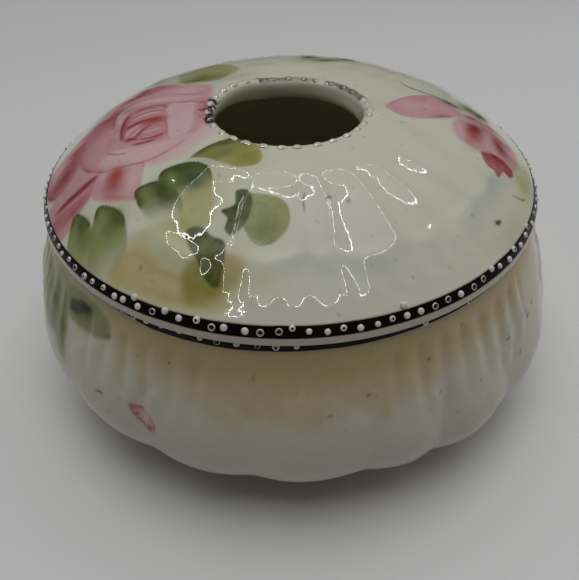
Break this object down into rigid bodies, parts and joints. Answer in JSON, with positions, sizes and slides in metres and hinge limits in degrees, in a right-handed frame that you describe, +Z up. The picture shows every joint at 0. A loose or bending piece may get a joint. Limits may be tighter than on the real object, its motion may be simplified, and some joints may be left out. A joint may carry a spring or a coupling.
{
  "type": "hair receiver jar",
  "caption": "Round lobed porcelain dressing-table jar with a domed lift-off lid, a beaded central hole and black enamelled rim bands.",
  "frame": {"origin": "centre of the foot ring, on the surface that the jar stands on", "axes": "+Z up along the jar's axis, which the lid lifts along; -Y is the side that the front view shows"},
  "size_m": [0.124, 0.1245, 0.0649],
  "materials": {
    "bowl_porcelain": "glazed white porcelain, washed with ochre below the rim",
    "lid_porcelain": "glazed pale greenish ivory porcelain, hand-painted with roses and leaves",
    "rim_enamel": "black overglaze enamel with raised white enamel dots",
    "bead_glaze": "glazed raised beads with worn brown gilding"
  },
  "bodies": {
    "bowl_body": {"bowl": "bowl_porcelain", "bowl_rim_band": "rim_enamel"},
    "lid_body": {"lid": "lid_porcelain", "lid_rim_band": "rim_enamel", "mouth_bead_ring": "bead_glaze"}
  },
  "joints": [
    {"name": "lid_lift", "type": "slide", "parent": "bowl_body", "child": "lid_body", "axis": [0, 0, 1], "range_m": [0, 0.06]}
  ]
}
